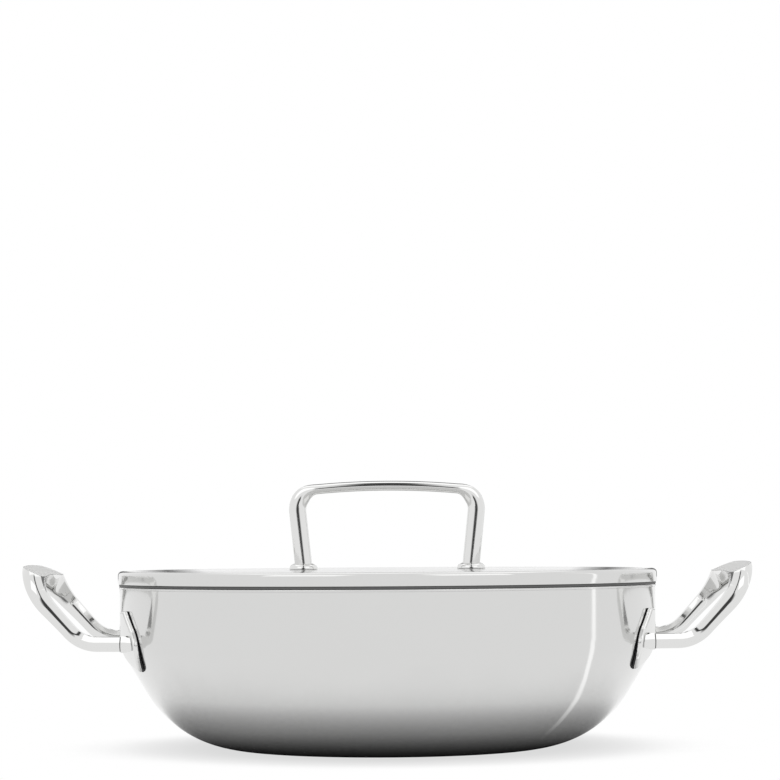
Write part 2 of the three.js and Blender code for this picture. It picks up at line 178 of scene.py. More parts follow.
# Steps of turns and curves, and the angles and distances that count as an edge or as one place
TURN_STEPS = 192
SMALL_STEPS = 48
BASE_CORNER_STEPS = 3
BOWL_STEPS = 28
SHOULDER_STEPS = 14
RIM_EDGE_STEPS = 4
HEM_STEPS = 3
CROWN_STEPS = 12
LID_UNDER_STEPS = 6
LID_EDGE_STEPS = 8
BAR_CORNER_STEPS = 5
BAR_SIDE_STEPS = 12
RIDGE_STEPS = 10
FLAT_STEPS = 5
BOW_ARCH_STEPS = 20
BOW_CORNER_STEPS = 24
BOW_LEG_STEPS = 12
FOOT_STEPS = 12
SCREW_HEAD_STEPS = 5
ARM_STEPS = 48
GRIP_CORNER_STEPS = 24
GRIP_STEPS = 12
PAD_CURVE_STEPS = 9
PAD_ROUND_STEPS = 6
ROUNDING_STEPS = 2
HANDLE_ROUNDING_STEPS = 3
SHARP_ANGLE = 32
TURNED_EDGE_ANGLE = 60
SCREW_EDGE_ANGLE = 70
HANDLE_EDGE_ANGLE = 26
SAME_PLACE = 1e-6
SAME_PLACE_SECTION = 1e-9
SAME_PLACE_PLATE = 1e-4


# Drawing and turning

def smooth_step(value, low, high):
    share = min(1, max(0, (value - low) / (high - low)))
    return share * share * (3 - 2 * share)


def blend(low, high, share):
    return low + (high - low) * share


def only(kind, geometry):
    """The vertices, edges or faces in what an operator returns."""
    return [item for item in geometry if isinstance(item, kind)]


class Pen:
    """Draws a profile in the XZ plane, in millimetres, by pulling one vertex along."""

    def __init__(self, bm, r, z):
        self.bm = bm
        self.vert = self.first = bm.verts.new((r * MM, 0, z * MM))

    def to(self, r, z):
        pulled = bmesh.ops.extrude_vert_indiv(self.bm, verts=[self.vert])
        self.vert = pulled["verts"][0]
        self.vert.co = (r * MM, 0, z * MM)

    def swing(self, r, z, degrees, steps):
        """An arc round (r, z), anticlockwise where degrees is positive."""
        swung = bmesh.ops.spin(
            self.bm, geom=[self.vert], cent=(r * MM, 0, z * MM), axis=(0, 1, 0),
            dvec=(0, 0, 0), angle=-radians(degrees), steps=steps, use_merge=False)
        self.vert = only(BMVert, swung["geom_last"])[0]

    def close(self):
        self.bm.edges.new((self.vert, self.first))


def spin_round(bm, steps):
    bmesh.ops.spin(
        bm, geom=bm.verts[:] + bm.edges[:], cent=(0, 0, 0), axis=(0, 0, 1),
        dvec=(0, 0, 0), angle=2 * pi, steps=steps, use_merge=True)
    settle(bm)


def settle(bm):
    bmesh.ops.remove_doubles(bm, verts=bm.verts[:], dist=SAME_PLACE)
    bmesh.ops.recalc_face_normals(bm, faces=bm.faces[:])


def rotate(bm, axis, angle):
    matrix = Matrix.Rotation(angle, 3, axis)
    bmesh.ops.rotate(bm, cent=(0, 0, 0), matrix=matrix, verts=bm.verts[:])


def shift(bm, way):
    bmesh.ops.translate(bm, vec=way, verts=bm.verts[:])


def soften(bm, degrees, width, segments):
    """Rounds every edge whose faces meet at more than this angle."""
    edges = [
        edge for edge in bm.edges
        if len(edge.link_faces) == 2 and edge.calc_face_angle(0) > radians(degrees)]
    bmesh.ops.bevel(
        bm, geom=edges, offset=width * MM, offset_type="OFFSET", affect="EDGES",
        segments=segments, profile=0.5, material=-1, clamp_overlap=True)


def lay_grain(bm, slant):
    """A map with u along the profile and v round the axis, both in metres."""
    grain = bm.loops.layers.uv.new("grain")
    for face in bm.faces:
        middle = face.calc_center_median()
        facing = atan2(middle.x, -middle.y)
        for loop in face.loops:
            x, y, z = loop.vert.co
            radius = hypot(x, y)
            turn = facing if radius < SAME_PLACE else atan2(x, -y)
            turn -= 2 * pi * round((turn - facing) / (2 * pi))
            loop[grain].uv = (radius + slant * z, turn * WALL_RADIUS * MM)


def start_piece():
    """An empty bmesh whose vertices can carry painted shade where pieces meet, and painted dark
    reflection lines.
    """
    bm = bmesh.new()
    return bm, bm.verts.layers.float.new("painted_dark")


def piece(name, bm, body, finish, even_shading=False):
    """Turns a finished bmesh into an object on a body, in place of the CAD node of that name."""
    mesh = bpy.data.meshes.new(name)
    for face in bm.faces:
        face.smooth = True
    bm.to_mesh(mesh)
    bm.free()
    mesh.set_sharp_from_angle(angle=radians(SHARP_ANGLE))
    mesh.materials.append(finish)
    obj = bpy.data.objects.new(name, mesh)
    bpy.context.collection.objects.link(obj)
    if even_shading:
        shading = obj.modifiers.new("even_shading", "WEIGHTED_NORMAL")
        shading.mode = "FACE_AREA"
        shading.keep_sharp = True
    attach(obj, body)
    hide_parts(name)
    if finish is not POLISHED:
        SATIN_PIECES.objects.link(obj)


# Finishes: pairs give the two ends of a range, and patterns are counted per metre
CLOUD_DETAIL = 3
CLOUD_SPAN = (0.3, 0.7)
SATIN_COLOUR = (0.67, 0.67, 0.664)
SATIN_TINTS = (0.66, 0.66, 0.653), (0.682, 0.682, 0.677)
SATIN_ROUGH_OUTSIDE = 0.08
SATIN_ROUGH_INSIDE = 0.18
SATIN_CLOUDS = 11
SATIN_CLOUD_ROUGH = (-0.008, 0.008)
SATIN_STRETCH = 0.92
RINGS = 5200
RING_DETAIL = 3
RING_SPAN = (0.25, 0.75)
RING_ROUGH = 0.02
RING_BUMP = 0.05
RING_DEPTH = 0.00003
RING_WANDERS = 22
RING_WANDER = (-0.00025, 0.00025)
POLISH_COLOUR = (0.74, 0.74, 0.733)
POLISH_TINTS = (0.73, 0.73, 0.722), (0.752, 0.752, 0.746)
POLISH_ROUGH = 0.06
POLISH_MARKS = 900
POLISH_MARK_DETAIL = 2
POLISH_MARK_STRETCH = (1, 0.12, 1)
POLISH_MARK_ROUGH = (0.045, 0.07)
POLISH_CLOUDS = 35
POLISH_CLOUD_ROUGH = (-0.008, 0.01)
POLISH_BUMP = 0.03
POLISH_DEPTH = 0.0004
GROUND_COLOUR = (0.88, 0.88, 0.872)
GROUND_ROUGH = 0.46
# Painted shade and painted dark reflection lines: the near-black colour, and the roughness added
# with it
PAINTED_DARK_COLOUR = (0.035, 0.035, 0.037)
PAINTED_DARK_ROUGH = 0.4
# Partly painted shade: the ring's steel is rough for real, and its colour is kept dark to stand
# in for the shade in the seam under the lid
PRESSED_SHADE_DARKENED_COLOUR = (0.4, 0.4, 0.395)
PRESSED_SHADE_DARKENED_TINTS = (0.37, 0.37, 0.366), (0.43, 0.43, 0.425)
# Painted shade at the flange's edge, in the seam between lid and rim
PRESSED_EDGE_SHADE_COLOUR = (0.13, 0.13, 0.13)
PRESSED_ROUGH = (0.42, 0.56)
PRESSED_CLOUDS = 60
PRESSED_CLOUD_DETAIL = 4
PRESSED_BUMP = 0.05
PRESSED_DEPTH = 0.0002
CORE_COLOUR = (0.73, 0.74, 0.75)
CORE_TINTS = (0.71, 0.72, 0.73), (0.75, 0.76, 0.77)
CORE_ROUGH = (0.36, 0.48)
CORE_CLOUDS = 160


class Nodes:
    """A material, and short ways to add and join its nodes."""

    def __init__(self, name):
        self.material = bpy.data.materials.new(name)
        self.material.use_nodes = True
        self.tree = self.material.node_tree

    def add(self, kind, **values):
        node = self.tree.nodes.new(kind)
        for key, value in values.items():
            if key in node.inputs:
                node.inputs[key].default_value = value
            else:
                setattr(node, key, value)
        return node

    def join(self, source, target):
        self.tree.links.new(source, target)

    def feed(self, value, socket):
        """Gives a socket a number, or joins another socket to it."""
        if isinstance(value, (int, float)):
            socket.default_value = value
        else:
            self.join(value, socket)

    def math(self, operation, first, second, clamp=False):
        node = self.add("ShaderNodeMath", operation=operation, use_clamp=clamp)
        self.feed(first, node.inputs[0])
        self.feed(second, node.inputs[1])
        return node.outputs["Value"]

    def attribute(self, name):
        return self.add("ShaderNodeAttribute", attribute_name=name).outputs["Fac"]


class Finish(Nodes):
    """A metal for the pieces, whose patterns drive its shader."""

    def __init__(self, name, colour, roughness):
        super().__init__(name)
        self.shader = self.tree.nodes["Principled BSDF"]
        self.shader.inputs["Base Color"].default_value = (*colour, 1)
        self.shader.inputs["Metallic"].default_value = 1
        self.shader.inputs["Roughness"].default_value = roughness

    def object_noise(self, scale, detail=CLOUD_DETAIL, stretch=(1, 1, 1)):
        place = self.add("ShaderNodeTexCoord")
        mapping = self.add("ShaderNodeMapping", Scale=stretch)
        noise = self.add("ShaderNodeTexNoise", Scale=scale, Detail=detail)
        self.join(place.outputs["Object"], mapping.inputs["Vector"])
        self.join(mapping.outputs["Vector"], noise.inputs["Vector"])
        return noise.outputs["Fac"]

    def ranged(self, value, span, result):
        """Stretches the values in one range over another."""
        node = self.add("ShaderNodeMapRange")
        keys = ("From Min", "From Max", "To Min", "To Max")
        for key, number in zip(keys, (*span, *result)):
            node.inputs[key].default_value = number
        self.join(value, node.inputs["Value"])
        return node.outputs["Result"]

    def blend(self, share, first, second):
        """Mixes two colours, each a tuple or a socket."""
        node = self.add("ShaderNodeMix", data_type="RGBA")
        colours = [s for s in node.inputs if s.type == "RGBA"]
        for socket, value in zip(colours, (first, second)):
            if isinstance(value, tuple):
                socket.default_value = (*value, 1)
            else:
                self.join(value, socket)
        self.join(share, node.inputs["Factor"])
        return next(s for s in node.outputs if s.type == "RGBA")

    def colour(self, socket):
        self.join(socket, self.shader.inputs["Base Color"])

    def roughness(self, socket):
        self.join(socket, self.shader.inputs["Roughness"])

    def bump(self, value, strength, distance):
        node = self.add("ShaderNodeBump", Strength=strength, Distance=distance)
        self.join(value, node.inputs["Height"])
        self.join(node.outputs["Normal"], self.shader.inputs["Normal"])


def turned_satin(name, smoothest):
    """Steel polished on a lathe: fine rings that smear reflections along the profile."""
    finish = Finish(name, SATIN_COLOUR, smoothest + RING_ROUGH / 2)
    grain = finish.add("ShaderNodeUVMap", uv_map="grain")
    parts = finish.add("ShaderNodeSeparateXYZ")
    finish.join(grain.outputs["UV"], parts.inputs["Vector"])
    wander = finish.ranged(finish.object_noise(RING_WANDERS), (0, 1), RING_WANDER)
    along = finish.math("ADD", parts.outputs["X"], wander)
    noise = finish.add(
        "ShaderNodeTexNoise", noise_dimensions="1D", Scale=1, Detail=RING_DETAIL)
    finish.join(finish.math("MULTIPLY", along, RINGS), noise.inputs["W"])
    rings = noise.outputs["Fac"]
    cloud = finish.object_noise(SATIN_CLOUDS)
    finish.roughness(finish.math(
        "ADD",
        finish.ranged(rings, RING_SPAN, (smoothest, smoothest + RING_ROUGH)),
        finish.ranged(cloud, CLOUD_SPAN, SATIN_CLOUD_ROUGH)))
    finish.colour(finish.blend(cloud, *SATIN_TINTS))
    finish.bump(rings, RING_BUMP, RING_DEPTH)
    finish.shader.inputs["Anisotropic"].default_value = SATIN_STRETCH
    tangent = finish.add("ShaderNodeTangent", direction_type="UV_MAP", uv_map="grain")
    finish.join(tangent.outputs["Tangent"], finish.shader.inputs["Tangent"])
    return finish.material


def polished():
    """Bright steel with faint polishing marks, ground on the grips' tops, and dark and rough
    where painted shade or a painted dark reflection line is laid on it.
    """
    finish = Finish("polished_steel", POLISH_COLOUR, POLISH_ROUGH)
    marks = finish.object_noise(POLISH_MARKS, POLISH_MARK_DETAIL, POLISH_MARK_STRETCH)
    cloud = finish.object_noise(POLISH_CLOUDS)
    painted_dark = finish.attribute("painted_dark")
    ground = finish.attribute("ground")
    bright = finish.math(
        "ADD",
        finish.ranged(marks, CLOUD_SPAN, POLISH_MARK_ROUGH),
        finish.ranged(cloud, CLOUD_SPAN, POLISH_CLOUD_ROUGH))
    matt = finish.math(
        "ADD",
        finish.math("MULTIPLY", painted_dark, PAINTED_DARK_ROUGH),
        finish.math("MULTIPLY", ground, GROUND_ROUGH))
    finish.roughness(finish.math("ADD", bright, matt))
    steel = finish.blend(ground, finish.blend(cloud, *POLISH_TINTS), GROUND_COLOUR)
    # Painted shade and painted dark reflection lines darken the steel here
    finish.colour(finish.blend(painted_dark, steel, PAINTED_DARK_COLOUR))
    finish.bump(cloud, POLISH_BUMP, POLISH_DEPTH)
    return finish.material


def dull_steel():
    """Pressed steel that is left unpolished, on the ring under the lid; its colour is kept dark
    as painted shade for the seam, and darker still with painted shade at the flange's edge.
    """
    finish = Finish("pressed_steel", PRESSED_SHADE_DARKENED_COLOUR, sum(PRESSED_ROUGH) / 2)
    cloud = finish.object_noise(PRESSED_CLOUDS, PRESSED_CLOUD_DETAIL)
    finish.roughness(finish.ranged(cloud, CLOUD_SPAN, PRESSED_ROUGH))
    steel = finish.blend(cloud, *PRESSED_SHADE_DARKENED_TINTS)
    finish.colour(finish.blend(finish.attribute("painted_dark"), steel, PRESSED_EDGE_SHADE_COLOUR))
    finish.bump(cloud, PRESSED_BUMP, PRESSED_DEPTH)
    return finish.material


def aluminium():
    """Plain rolled metal between the two skins."""
    finish = Finish("core_aluminium", CORE_COLOUR, sum(CORE_ROUGH) / 2)
    cloud = finish.object_noise(CORE_CLOUDS)
    finish.roughness(finish.ranged(cloud, CLOUD_SPAN, CORE_ROUGH))
    finish.colour(finish.blend(cloud, *CORE_TINTS))
    return finish.material


SATIN = turned_satin("satin_steel", SATIN_ROUGH_OUTSIDE)
SATIN_INSIDE = turned_satin("satin_inside", SATIN_ROUGH_INSIDE)
POLISHED = polished()
PRESSED = dull_steel()
CORE = aluminium()
SATIN_PIECES = bpy.data.collections.new("satin_pieces")

# Pan: its outside drawn from the flat base up, offset along its normals for each ply
SLOPE = radians(CONE_ANGLE)
CORNER_TURN = radians(BASE_CORNER_ANGLE)
CONE_FOOT_RADIUS = WALL_RADIUS - SHOULDER_RADIUS * (1 - sin(SLOPE)) - CONE_SLANT * cos(SLOPE)
BOWL_R = CONE_FOOT_RADIUS - BOWL_RADIUS * sin(SLOPE)
BOWL_Z = BASE_CORNER_RADIUS + (BOWL_RADIUS - BASE_CORNER_RADIUS) * cos(CORNER_TURN)
CORNER_R = BOWL_R + (BOWL_RADIUS - BASE_CORNER_RADIUS) * sin(CORNER_TURN)
CONE_FOOT_HEIGHT = BOWL_Z - BOWL_RADIUS * cos(SLOPE)
SHOULDER_R = WALL_RADIUS - SHOULDER_RADIUS
SHOULDER_Z = CONE_FOOT_HEIGHT + CONE_SLANT * sin(SLOPE) + SHOULDER_RADIUS * cos(SLOPE)
BOWL_SWEEP = CONE_ANGLE - BASE_CORNER_ANGLE
SHOULDER_SWEEP = 90 - CONE_ANGLE
LIP_BOTTOM = RIM_HEIGHT - RIM_LIP_HEIGHT
CORE_OUTER = -(OUTER_PLY + BOND_LINE)
CORE_INNER = CORE_OUTER - CORE_PLY
LINER_OUTER = CORE_INNER - BOND_LINE
LINER_INNER = LINER_OUTER - INNER_PLY


def cone_end(r, z, radius):
    return r + radius * sin(SLOPE), z - radius * cos(SLOPE)


def draw_wall_up(pen, offset, top):
    pen.to(CORNER_R, -offset)
    pen.swing(CORNER_R, BASE_CORNER_RADIUS, BASE_CORNER_ANGLE, BASE_CORNER_STEPS)
    pen.swing(BOWL_R, BOWL_Z, BOWL_SWEEP, BOWL_STEPS)
    pen.to(*cone_end(SHOULDER_R, SHOULDER_Z, SHOULDER_RADIUS + offset))
    pen.swing(SHOULDER_R, SHOULDER_Z, SHOULDER_SWEEP, SHOULDER_STEPS)
    pen.to(WALL_RADIUS + offset, top)


def draw_wall_down(pen, offset):
    pen.to(WALL_RADIUS + offset, SHOULDER_Z)
    pen.swing(SHOULDER_R, SHOULDER_Z, -SHOULDER_SWEEP, SHOULDER_STEPS)
    pen.to(*cone_end(BOWL_R, BOWL_Z, BOWL_RADIUS + offset))
    pen.swing(BOWL_R, BOWL_Z, -BOWL_SWEEP, BOWL_STEPS)
    pen.swing(CORNER_R, BASE_CORNER_RADIUS, -BASE_CORNER_ANGLE, BASE_CORNER_STEPS)
    pen.to(0, -offset)


def pan_ply(name, outer, inner, finish):
    top = LIP_BOTTOM - BOND_LINE
    bm = bmesh.new()
    pen = Pen(bm, 0, -outer)
    draw_wall_up(pen, outer, top)
    pen.to(WALL_RADIUS + inner, top)
    draw_wall_down(pen, inner)
    spin_round(bm, TURN_STEPS)
    lay_grain(bm, 1)
    piece(name, bm, "pan", finish)


def pan_liner():
    """The inner skin, whose lip folds over the other two layers at the rim."""
    lip_outer = WALL_RADIUS + RIM_LIP_OVERHANG
    lip_inner = WALL_RADIUS + LINER_INNER + RIM_EDGE_ROUND
    lip_under = lip_outer - LIP_UNDER_ROUND
    edge_height = RIM_HEIGHT - RIM_EDGE_ROUND
    bm = bmesh.new()
    pen = Pen(bm, 0, -LINER_OUTER)
    draw_wall_up(pen, LINER_OUTER, LIP_BOTTOM)
    pen.to(lip_under, LIP_BOTTOM)
    pen.swing(lip_under, LIP_BOTTOM + LIP_UNDER_ROUND, 90, HEM_STEPS)
    pen.to(lip_outer, edge_height)
    pen.swing(lip_outer - RIM_EDGE_ROUND, edge_height, 90, RIM_EDGE_STEPS)
    pen.to(lip_inner, RIM_HEIGHT)
    pen.swing(lip_inner, edge_height, 90, RIM_EDGE_STEPS)
    draw_wall_down(pen, LINER_INNER)
    spin_round(bm, TURN_STEPS)
    lay_grain(bm, 1)
    piece("pan_inner_skin", bm, "pan", SATIN_INSIDE)


pan_ply("pan_outer_skin", 0, -OUTER_PLY, SATIN)
pan_ply("pan_core", CORE_OUTER, CORE_INNER, CORE)
pan_liner()

# Lid
LID_RADIUS = WALL_RADIUS + LID_OVERHANG
SKIRT_BOTTOM = RIM_HEIGHT + SEAM_HEIGHT
LID_TOP = SKIRT_BOTTOM + LID_DEPTH
LID_FLAT_RADIUS = LID_RADIUS - LID_EDGE_RADIUS


def crown_at(r):
    return LID_TOP + LID_CROWN * (1 - (r / LID_FLAT_RADIUS) ** 2)


def lid_shell():
    inner_skirt = LID_RADIUS - LID_SHEET
    hem_height = SKIRT_BOTTOM + LID_HEM_ROUND
    edge_height = LID_TOP - LID_EDGE_RADIUS
    crown = [LID_FLAT_RADIUS * step / CROWN_STEPS for step in range(CROWN_STEPS + 1)]
    bm = bmesh.new()
    pen = Pen(bm, 0, crown_at(0) - LID_SHEET)
    for r in crown[1:]:
        pen.to(r, crown_at(r) - LID_SHEET)
    pen.swing(LID_FLAT_RADIUS, edge_height, -90, LID_UNDER_STEPS)
    pen.to(inner_skirt, hem_height)
    pen.swing(inner_skirt + LID_HEM_ROUND, hem_height, 90, HEM_STEPS)
    pen.to(LID_RADIUS - LID_HEM_ROUND, SKIRT_BOTTOM)
    pen.swing(LID_RADIUS - LID_HEM_ROUND, hem_height, 90, HEM_STEPS)
    pen.to(LID_RADIUS, edge_height)
    pen.swing(LID_FLAT_RADIUS, edge_height, 90, LID_EDGE_STEPS)
    for r in crown[-2::-1]:
        pen.to(r, crown_at(r))
    spin_round(bm, TURN_STEPS)
    lay_grain(bm, -1)
    piece("lid_shell", bm, "lid", SATIN)


def seat_ring():
    """The collar that drops into the mouth, with the flange that sits on the rim."""
    outer = WALL_RADIUS + LINER_INNER - COLLAR_PLAY
    inner = outer - COLLAR_THICKNESS
    flange = WALL_RADIUS + FLANGE_REACH
    bottom = RIM_HEIGHT - COLLAR_REACH
    seat = RIM_HEIGHT + SEAT_GAP
    top = crown_at(outer) - LID_SHEET - BOND_LINE
    bm, painted_dark = start_piece()
    pen = Pen(bm, inner, bottom)
    pen.to(outer, bottom)
    pen.to(outer, seat)
    pen.to(flange, seat)
    pen.to(flange, seat + FLANGE_THICKNESS)
    pen.to(outer, seat + FLANGE_THICKNESS)
    pen.to(outer, top)
    pen.to(inner, top)
    pen.close()
    spin_round(bm, TURN_STEPS)
    soften(bm, TURNED_EDGE_ANGLE, COLLAR_EDGE_ROUND, ROUNDING_STEPS)
    # Painted shade: the flange darkens towards its outer edge, where the seam between lid and rim
    # lies in shade
    for vert in bm.verts:
        radius = hypot(vert.co.x, vert.co.y) / MM
        vert[painted_dark] = smooth_step(
            radius, flange - FLANGE_SHADE_START, flange - FLANGE_SHADE_END)
    piece("lid_seat_ring", bm, "lid", PRESSED)


lid_shell()
seat_ring()


# Bars: a ring of the section, one millimetre wide and thick, pulled along a row of frames

def draw_oval(bm):
    """Flat faces, bulging sides and rounded corners between them, for the lid handle."""
    bulge = 0.5 - BAR_FLAT_SHARE / 2
    side_round = (0.25 + bulge ** 2) / (2 * bulge)
    side_x = 0.5 - side_round
    corner_z = 0.5 - BOW_EDGE_SHARE
    corner_x = side_x + sqrt((side_round - BOW_EDGE_SHARE) ** 2 - corner_z ** 2)
    side_turn = atan2(corner_z, corner_x - side_x) * 180 / pi
    pen = Pen(bm, corner_x, 0.5)
    for side in (1, -1):
        pen.to(side * corner_x, side * 0.5)
        pen.swing(side * corner_x, side * corner_z, side_turn - 90, BAR_CORNER_STEPS)
        pen.swing(side * side_x, 0, -2 * side_turn, BAR_SIDE_STEPS)
        pen.swing(side * corner_x, -side * corner_z, side_turn - 90, BAR_CORNER_STEPS)
    bmesh.ops.remove_doubles(bm, verts=bm.verts[:], dist=SAME_PLACE_SECTION)
    pen.close()


def draw_ridged(bm):
    """Flat faces and sides with a rounded ridge below the middle, for the side handles."""
    flat = BAR_FLAT_SHARE / 2
    upper = atan2(0.5 - flat, 0.5 - RIDGE_RISE)
    lower = atan2(0.5 - flat, 0.5 + RIDGE_RISE)
    reach = RIDGE_ROUND / cos((upper + lower) / 2)
    tilt = (upper - lower) / 2
    centre_x, centre_z = 0.5 - reach * cos(tilt), RIDGE_RISE - reach * sin(tilt)
    turn = (upper + lower) * 180 / pi
    across = [blend(flat, -flat, step / FLAT_STEPS) for step in range(FLAT_STEPS + 1)]
    pen = Pen(bm, flat, 0.5)
    pen.to(centre_x + RIDGE_ROUND * cos(upper), centre_z + RIDGE_ROUND * sin(upper))
    pen.swing(centre_x, centre_z, -turn, RIDGE_STEPS)
    for x in across:
        pen.to(x, -0.5)
    pen.to(-centre_x - RIDGE_ROUND * cos(lower), centre_z - RIDGE_ROUND * sin(lower))
    pen.swing(-centre_x, centre_z, -turn, RIDGE_STEPS)
    for x in across[:0:-1]:
        pen.to(x, 0.5)
    pen.close()


def bar_frame(centre, across, normal, width, thickness):
    """Places the unit section, with sizes and the centre in millimetres."""
    along = normal.cross(across)
    columns = Matrix((across * width, along, normal * thickness)).transposed().to_4x4()
    columns.translation = centre
    return Matrix.Scale(MM, 4) @ columns


def pull_bar(bm, draw_ring, frames):
    """Pulls the section along the frames and returns the vertices of each ring."""
    draw_ring(bm)
    bmesh.ops.scale(bm, vec=(1 / MM,) * 3, verts=bm.verts[:])
    edges, verts = bm.edges[:], bm.verts[:]
    bmesh.ops.transform(bm, matrix=frames[0], verts=verts)
    bmesh.ops.contextual_create(bm, geom=edges)
    rings = [verts]
    for before, after in zip(frames, frames[1:]):
        pulled = bmesh.ops.extrude_edge_only(bm, edges=edges)["geom"]
        edges = only(BMEdge, pulled)
        verts = only(BMVert, pulled)
        bmesh.ops.transform(bm, matrix=after @ before.inverted(), verts=verts)
        rings.append(verts)
    bmesh.ops.contextual_create(bm, geom=edges)
    bmesh.ops.recalc_face_normals(bm, faces=bm.faces[:])
    return rings


# Lid handle, walked from the middle outwards: arched top, round corner, leaning leg

def bow_half():
    top = LID_TOP + BOW_RISE - BOW_TOP_THICKNESS / 2
    arch_turn = BOW_TOP_HALF / BOW_ARCH_RADIUS
    corner_turn = pi / 2 + BOW_LEAN
    path = []
    for step in range(BOW_ARCH_STEPS + 1):
        turn = arch_turn * step / BOW_ARCH_STEPS
        path.append((BOW_ARCH_RADIUS * sin(turn), top - BOW_ARCH_RADIUS * (1 - cos(turn)), turn))
    start_x, start_z, _ = path[-1]
    for step in range(1, BOW_CORNER_STEPS + 1):
        turn = arch_turn + (corner_turn - arch_turn) * step / BOW_CORNER_STEPS
        path.append((
            start_x + BOW_CORNER_RADIUS * (sin(turn) - sin(arch_turn)),
            start_z - BOW_CORNER_RADIUS * (cos(arch_turn) - cos(turn)), turn))
    corner_x, corner_z, _ = path[-1]
    bottom = crown_at(corner_x - FOOT_RADIUS) + FOOT_HEIGHT + 2 * BOND_LINE - LEG_SINK
    for step in range(1, BOW_LEG_STEPS + 1):
        drop = (corner_z - bottom) * step / BOW_LEG_STEPS
        path.append((corner_x - drop * tan(BOW_LEAN), corner_z - drop, corner_turn))
    return path


BOW_PATH = bow_half()
FOOT_X, LEG_BOTTOM, _ = BOW_PATH[-1]
WASHER_TOP = crown_at(FOOT_X + WASHER_RADIUS) - LID_SHEET - BOND_LINE


def bow_frame(point, side):
    """The section at a point of the bow, level where the leg stands on its foot."""
    x, z, turn = point
    share = smooth_step(turn, 0, (pi / 2 + BOW_LEAN) * BOW_TAPER_SHARE)
    outward = Vector((side * sin(turn), 0, cos(turn)))
    thickness = blend(BOW_TOP_THICKNESS, BOW_LEG_THICKNESS, share)
    if point is BOW_PATH[-1]:
        outward = Vector((side, 0, 0))
        thickness /= cos(BOW_LEAN)
    width = blend(BOW_TOP_WIDTH, BOW_LEG_WIDTH, share)
    return bar_frame(Vector((side * x, 0, z)), Vector((0, 1, 0)), outward, width, thickness)


def lid_handle():
    left = [bow_frame(point, -1) for point in reversed(BOW_PATH)]
    right = [bow_frame(point, 1) for point in BOW_PATH[1:]]
    bm, _ = start_piece()
    pull_bar(bm, draw_oval, left + right)
    piece("lid_handle", bm, "lid", POLISHED, even_shading=True)


def lid_foot(name, x):
    base = crown_at(FOOT_X - FOOT_RADIUS) + BOND_LINE
    rise = FOOT_HEIGHT - FOOT_EDGE_HEIGHT
    bm, painted_dark = start_piece()
    pen = Pen(bm, 0, base)
    pen.to(FOOT_RADIUS, base)
    pen.to(FOOT_RADIUS, base + FOOT_EDGE_HEIGHT)
    for step in range(1, FOOT_STEPS + 1):
        turn = pi / 2 * step / FOOT_STEPS
        pen.to(
            FOOT_RADIUS - FOOT_ROUND * (1 - cos(turn)),
            base + FOOT_EDGE_HEIGHT + rise * sin(turn))
    pen.to(0, base + FOOT_HEIGHT)
    spin_round(bm, SMALL_STEPS)
    for vert in bm.verts:
        # Painted shade: the foot's bottom edge darkens where it stands on the lid
        vert[painted_dark] = FOOT_PAINTED_SHADE if vert.co.z < (base + FOOT_SHADE_HEIGHT) * MM else 0
    shift(bm, (x * MM, 0, 0))
    piece(name, bm, "lid", POLISHED)


def lid_washer(name, x):
    hole = SCREW_RADIUS + WASHER_PLAY
    low = WASHER_TOP - WASHER_THICKNESS
    bm = bmesh.new()
    pen = Pen(bm, hole, low)
    pen.to(WASHER_RADIUS, low)
    pen.to(WASHER_RADIUS, WASHER_TOP)
    pen.to(hole, WASHER_TOP)
    pen.close()
    spin_round(bm, SMALL_STEPS)
    soften(bm, TURNED_EDGE_ANGLE, WASHER_EDGE_ROUND, ROUNDING_STEPS)
    shift(bm, (x * MM, 0, 0))
    piece(name, bm, "lid", POLISHED)


def lid_screw(name, x):
    head_top = WASHER_TOP - WASHER_THICKNESS - BOND_LINE
    head_bottom = head_top - SCREW_HEAD_HEIGHT
    half_head = SCREW_HEAD_HEIGHT / 2
    socket_floor = head_bottom + half_head
    face = SCREW_HEAD_RADIUS - half_head
    tip = LEG_BOTTOM + LEG_SINK + SCREW_GRIP
    bm = bmesh.new()
    pen = Pen(bm, 0, socket_floor)
    pen.to(SCREW_SOCKET_RADIUS, socket_floor)
    pen.to(SCREW_SOCKET_MOUTH, head_bottom)
    pen.to(face, head_bottom)
    pen.swing(face, head_bottom + half_head, 90, SCREW_HEAD_STEPS)
    pen.to(SCREW_HEAD_RADIUS, head_top)
    pen.to(SCREW_RADIUS, head_top)
    pen.to(SCREW_RADIUS, tip - SCREW_TIP_CHAMFER)
    pen.to(SCREW_RADIUS - SCREW_TIP_CHAMFER, tip)
    pen.to(0, tip)
    spin_round(bm, SMALL_STEPS)
    soften(bm, SCREW_EDGE_ANGLE, SCREW_EDGE_ROUND, ROUNDING_STEPS)
    shift(bm, (x * MM, 0, 0))
    piece(name, bm, "lid", POLISHED)


lid_handle()
for side_name, side_x in (("left", -FOOT_X), ("right", FOOT_X)):
    lid_foot(f"lid_handle_{side_name}_foot", side_x)
    lid_washer(f"lid_handle_{side_name}_washer", side_x)
    lid_screw(f"lid_handle_{side_name}_screw", side_x)

# Side handles: a loop drawn flat in (run, Y) and laid on a rising curve in the XZ plane
ARM_HEIGHT = RIM_HEIGHT - HANDLE_DROP
ROOT_X = sqrt(WALL_RADIUS ** 2 - ARM_SPREAD ** 2)
RISE_START = ARM_RUN + ARM_BEND_RADIUS * ARM_BEND
GRIP_START = RISE_START + ARM_RISE_RUN
GRIP_RUN = GRIP_START + GRIP_BEND_RADIUS * GRIP_BEND
SHOULDER_RUN = BOSS_REACH + PAD_CLEARANCE
ROOT_LEAN = atan2(ARM_SPREAD - GRIP_HALF, GRIP_RUN)


